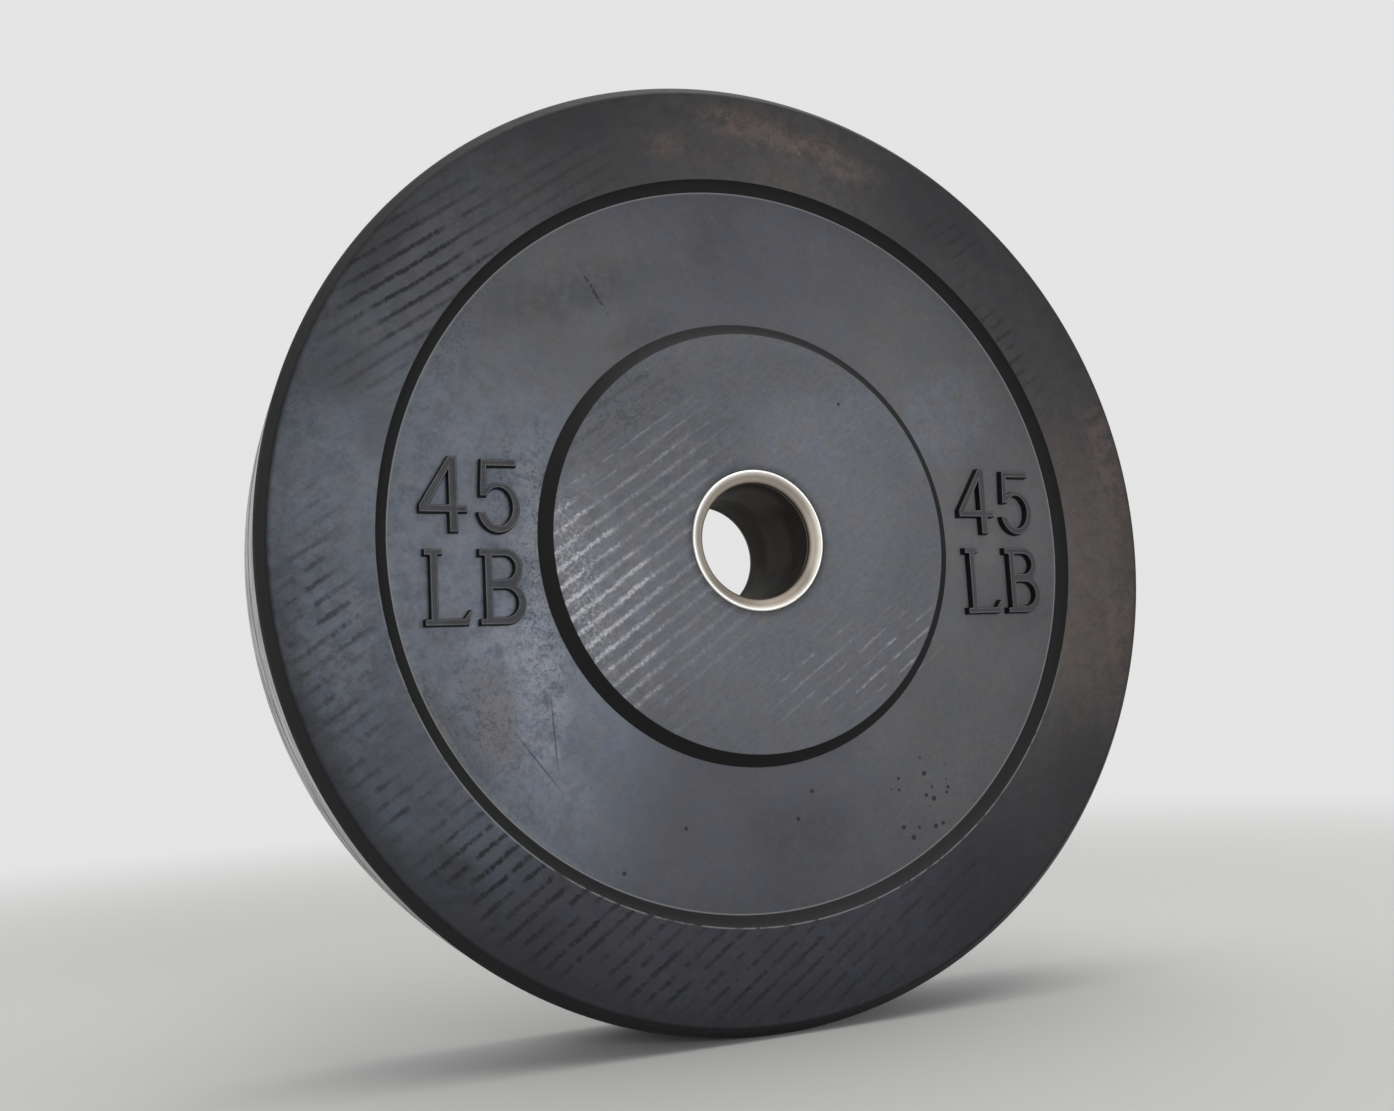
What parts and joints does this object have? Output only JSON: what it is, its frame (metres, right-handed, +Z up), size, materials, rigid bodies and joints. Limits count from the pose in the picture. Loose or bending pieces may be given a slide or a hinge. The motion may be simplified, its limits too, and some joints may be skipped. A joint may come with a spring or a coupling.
{
  "type": "bumper plate",
  "caption": "Round rubber weight plate for a barbell, with flat rim, recessed middle ring, raised hub and a steel-lined bore.",
  "frame": {"origin": "on the axis of the bore, halfway through the plate", "axes": "+Y along the bore from the front face to the rear face, +Z up with the raised marks upright, so that the plate stands on its tread with its front towards -Y"},
  "size_m": [0.4498, 0.076, 0.4498],
  "materials": {
    "rubber": "moulded black rubber with a waxy slate-grey bloom on the flat faces",
    "bright_steel": "turned and tumbled, satin bright",
    "dark_steel": "dark mill finish, lightly oiled",
    "plain_steel": "plain mill finish, hidden in the rubber"
  },
  "bodies": {
    "root": {"rubber_body": "rubber", "insert_sleeve": "dark_steel", "anchor_flange": "plain_steel", "rear_weld_bead": "plain_steel", "front_weld_bead": "plain_steel", "rear_lip_ring": "bright_steel", "front_lip_ring": "bright_steel"}
  },
  "joints": []
}
